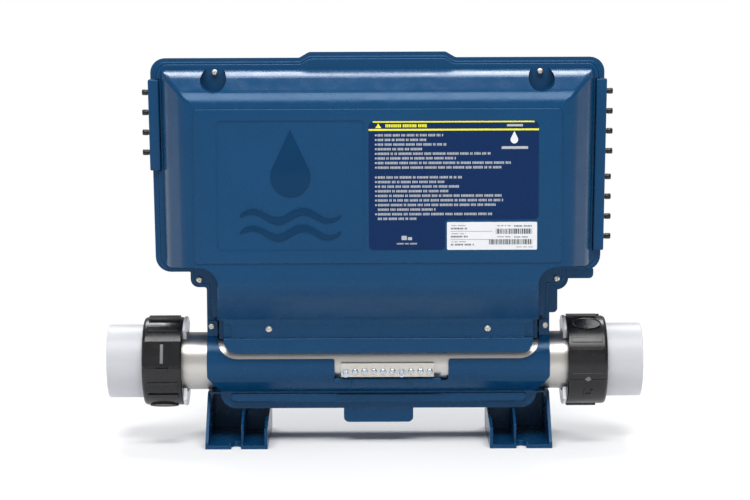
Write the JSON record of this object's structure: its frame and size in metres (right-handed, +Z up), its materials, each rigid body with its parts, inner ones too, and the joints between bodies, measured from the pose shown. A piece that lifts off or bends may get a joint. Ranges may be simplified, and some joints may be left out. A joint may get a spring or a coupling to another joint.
{
  "type": "spa heater control pack",
  "caption": "Box-shaped spa heater controller on two feet, with a steel flow-through heater tube, split union nuts and pipe tails across its lower front.",
  "frame": {"origin": "under the middle of the whole pack, on the surface that the feet stand on", "axes": "+X along the heater tube to the right as seen from the front, +Y to the back, +Z up; the cover faces -Y"},
  "size_m": [0.5216, 0.1288, 0.3827],
  "materials": {
    "blue_plastic": "moulded, fine-grained, satin",
    "black_plastic": "moulded, satin",
    "white_plastic": "moulded, smooth",
    "translucent_ring": "smooth, milky",
    "seal_rubber": "matt",
    "dark_label": "printed film",
    "white_label": "printed film",
    "stainless": "brushed",
    "plated_steel": "bright zinc plate",
    "tinned_metal": "bead-blasted, satin",
    "element_sheath": "drawn, dull",
    "brass": "machined",
    "circuit_green": "solder mask",
    "component_black": "moulded",
    "terminal_green": "moulded",
    "iron_core": "varnished laminations",
    "lead_red": "insulation"
  },
  "bodies": {
    "housing": {"rear_housing": "blue_plastic", "left_foot": "blue_plastic", "right_foot": "blue_plastic", "front_tab": "blue_plastic", "cover_gasket": "seal_rubber", "left_gland_strip": "blue_plastic", "left_plug_strip": "seal_rubber", "right_gland_strip": "blue_plastic", "right_plug_strip_upper": "seal_rubber", "right_plug_strip_lower": "seal_rubber", "bonding_bar": "tinned_metal", "circuit_board": "circuit_green", "transformer": "iron_core", "relay_1": "component_black", "relay_2": "component_black", "relay_3": "component_black", "power_terminal_block": "terminal_green", "fuse": "tinned_metal", "capacitor": "component_black", "heater_tube": "stainless", "heater_element": "element_sheath", "element_terminal_1": "brass", "element_terminal_2": "brass", "temperature_probe": "brass", "heater_lead_1": "lead_red", "heater_lead_2": "lead_red", "sensor_lead": "component_black", "left_retainer_ring": "translucent_ring", "left_union_seal": "seal_rubber", "right_retainer_ring": "translucent_ring", "right_union_seal": "seal_rubber"},
    "front_cover": {"front_cover": "blue_plastic", "info_label": "dark_label", "rating_label": "white_label"},
    "heater_shroud": {"heater_shroud": "blue_plastic"},
    "left_nut": {"left_nut_upper_half": "black_plastic", "left_nut_lower_half": "black_plastic"},
    "right_nut": {"right_nut_upper_half": "black_plastic", "right_nut_lower_half": "black_plastic"},
    "left_tailpiece": {"left_tailpiece": "white_plastic"},
    "right_tailpiece": {"right_tailpiece": "white_plastic"},
    "cover_screw_top_left": {"cover_screw_top_left": "plated_steel"},
    "cover_screw_top_right": {"cover_screw_top_right": "plated_steel"},
    "cover_screw_ear_left": {"cover_screw_ear_left": "plated_steel"},
    "cover_screw_ear_right": {"cover_screw_ear_right": "plated_steel"},
    "cover_screw_low_left": {"cover_screw_low_left": "plated_steel"},
    "cover_screw_low_right": {"cover_screw_low_right": "plated_steel"},
    "shroud_screw_left": {"shroud_screw_left": "plated_steel"},
    "shroud_screw_right": {"shroud_screw_right": "plated_steel"},
    "terminal_screw_1": {"terminal_screw_1": "plated_steel"},
    "terminal_screw_2": {"terminal_screw_2": "plated_steel"},
    "terminal_screw_3": {"terminal_screw_3": "plated_steel"},
    "terminal_screw_4": {"terminal_screw_4": "plated_steel"},
    "terminal_screw_5": {"terminal_screw_5": "plated_steel"},
    "terminal_screw_6": {"terminal_screw_6": "plated_steel"},
    "terminal_screw_7": {"terminal_screw_7": "plated_steel"},
    "terminal_screw_8": {"terminal_screw_8": "plated_steel"},
    "bar_fixing_screw_1": {"bar_fixing_screw_1": "plated_steel"},
    "bar_fixing_screw_2": {"bar_fixing_screw_2": "plated_steel"}
  },
  "joints": [
    {"name": "front_cover_lift", "type": "slide", "parent": "housing", "child": "front_cover", "axis": [0, -1, 0], "range_m": [0, 0.12]},
    {"name": "heater_shroud_lift", "type": "slide", "parent": "housing", "child": "heater_shroud", "axis": [0, -1, 0], "range_m": [0, 0.08]},
    {"name": "left_nut_turn", "type": "hinge", "parent": "housing", "child": "left_nut", "pos_m": [-0.206, 0.0016, 0.0793], "axis": [-1, 0, 0], "range_deg": [0, 1620]},
    {"name": "left_tailpiece_slide", "type": "slide", "parent": "housing", "child": "left_tailpiece", "axis": [-1, 0, 0], "range_m": [0, 0.0275]},
    {"name": "right_nut_turn", "type": "hinge", "parent": "housing", "child": "right_nut", "pos_m": [0.206, 0.0016, 0.0793], "axis": [1, 0, 0], "range_deg": [0, 1620]},
    {"name": "right_tailpiece_slide", "type": "slide", "parent": "housing", "child": "right_tailpiece", "axis": [1, 0, 0], "range_m": [0, 0.0275]},
    {"name": "cover_screw_top_left_turn", "type": "hinge", "parent": "front_cover", "child": "cover_screw_top_left", "pos_m": [-0.1532, -0.0183, 0.3635], "axis": [0, -1, 0], "range_deg": [0, 1800]},
    {"name": "cover_screw_top_right_turn", "type": "hinge", "parent": "front_cover", "child": "cover_screw_top_right", "pos_m": [0.1602, -0.0183, 0.3635], "axis": [0, -1, 0], "range_deg": [0, 1800]},
    {"name": "cover_screw_ear_left_turn", "type": "hinge", "parent": "front_cover", "child": "cover_screw_ear_left", "pos_m": [-0.1703, -0.0163, 0.1622], "axis": [0, -1, 0], "range_deg": [0, 1800]},
    {"name": "cover_screw_ear_right_turn", "type": "hinge", "parent": "front_cover", "child": "cover_screw_ear_right", "pos_m": [0.1773, -0.0163, 0.1622], "axis": [0, -1, 0], "range_deg": [0, 1800]},
    {"name": "cover_screw_low_left_turn", "type": "hinge", "parent": "front_cover", "child": "cover_screw_low_left", "pos_m": [-0.1025, -0.0347, 0.116], "axis": [0, -1, 0], "range_deg": [0, 1800]},
    {"name": "cover_screw_low_right_turn", "type": "hinge", "parent": "front_cover", "child": "cover_screw_low_right", "pos_m": [0.1095, -0.0347, 0.116], "axis": [0, -1, 0], "range_deg": [0, 1800]},
    {"name": "shroud_screw_left_turn", "type": "hinge", "parent": "heater_shroud", "child": "shroud_screw_left", "pos_m": [-0.1591, -0.0163, 0.1162], "axis": [0, -1, 0], "range_deg": [0, 1800]},
    {"name": "shroud_screw_right_turn", "type": "hinge", "parent": "heater_shroud", "child": "shroud_screw_right", "pos_m": [0.1661, -0.0163, 0.1162], "axis": [0, -1, 0], "range_deg": [0, 1800]},
    {"name": "terminal_screw_1_turn", "type": "hinge", "parent": "housing", "child": "terminal_screw_1", "pos_m": [-0.01915, -0.0348, 0.074], "axis": [0, -1, 0], "range_deg": [0, 1440]},
    {"name": "terminal_screw_2_turn", "type": "hinge", "parent": "housing", "child": "terminal_screw_2", "pos_m": [-0.0101, -0.0348, 0.074], "axis": [0, -1, 0], "range_deg": [0, 1440]},
    {"name": "terminal_screw_3_turn", "type": "hinge", "parent": "housing", "child": "terminal_screw_3", "pos_m": [-0.00105, -0.0348, 0.074], "axis": [0, -1, 0], "range_deg": [0, 1440]},
    {"name": "terminal_screw_4_turn", "type": "hinge", "parent": "housing", "child": "terminal_screw_4", "pos_m": [0.008, -0.0348, 0.074], "axis": [0, -1, 0], "range_deg": [0, 1440]},
    {"name": "terminal_screw_5_turn", "type": "hinge", "parent": "housing", "child": "terminal_screw_5", "pos_m": [0.01705, -0.0348, 0.074], "axis": [0, -1, 0], "range_deg": [0, 1440]},
    {"name": "terminal_screw_6_turn", "type": "hinge", "parent": "housing", "child": "terminal_screw_6", "pos_m": [0.03515, -0.0348, 0.074], "axis": [0, -1, 0], "range_deg": [0, 1440]},
    {"name": "terminal_screw_7_turn", "type": "hinge", "parent": "housing", "child": "terminal_screw_7", "pos_m": [0.0442, -0.0348, 0.074], "axis": [0, -1, 0], "range_deg": [0, 1440]},
    {"name": "terminal_screw_8_turn", "type": "hinge", "parent": "housing", "child": "terminal_screw_8", "pos_m": [0.05325, -0.0348, 0.074], "axis": [0, -1, 0], "range_deg": [0, 1440]},
    {"name": "bar_fixing_screw_1_turn", "type": "hinge", "parent": "housing", "child": "bar_fixing_screw_1", "pos_m": [-0.0282, -0.0348, 0.0724], "axis": [0, -1, 0], "range_deg": [0, 1800]},
    {"name": "bar_fixing_screw_2_turn", "type": "hinge", "parent": "housing", "child": "bar_fixing_screw_2", "pos_m": [0.0261, -0.0348, 0.0724], "axis": [0, -1, 0], "range_deg": [0, 1800]}
  ],
  "couplings": [
    {"joint": "left_tailpiece_slide", "follows": "left_nut_turn", "m_per_rad": 0.00095493},
    {"joint": "right_tailpiece_slide", "follows": "right_nut_turn", "m_per_rad": 0.00095493}
  ]
}
